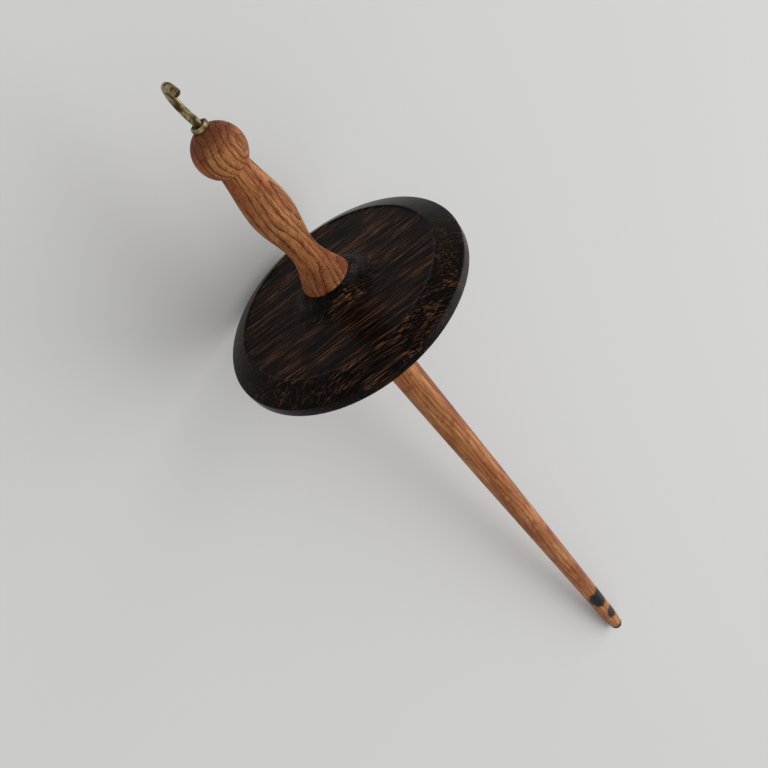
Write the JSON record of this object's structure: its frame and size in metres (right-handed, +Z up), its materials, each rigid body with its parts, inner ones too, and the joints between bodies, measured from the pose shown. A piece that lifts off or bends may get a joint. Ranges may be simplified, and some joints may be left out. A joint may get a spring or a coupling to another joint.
{
  "type": "hand spindle",
  "caption": "Top-whorl drop spindle turned in two woods: baluster handle with ball head and brass hook, dark bevelled whorl, long tapered shaft",
  "frame": {"origin": "on the table under the middle of the resting spindle's bounding box", "axes": "+Z up from the table the spindle lies on, +X along the spindle's length towards the hook, +Y to its left seen from the tip; the spindle's own axis rises about 8 degrees above +X, so that its tip and the whorl's under edge both touch the table"},
  "size_m": [0.3012, 0.07, 0.0696],
  "materials": {
    "oak": "turned and oiled light brown oak, satin",
    "dark_wood": "turned and waxed near-black wenge-like wood with brown streaks, satin",
    "hook_brass": "drawn brass wire, aged to a dull olive brown",
    "collar_brass": "pressed brass, aged to a dull olive brown"
  },
  "bodies": {
    "root": {"shaft": "oak", "whorl": "dark_wood", "hook": "hook_brass", "hook_collar": "collar_brass"}
  },
  "joints": []
}
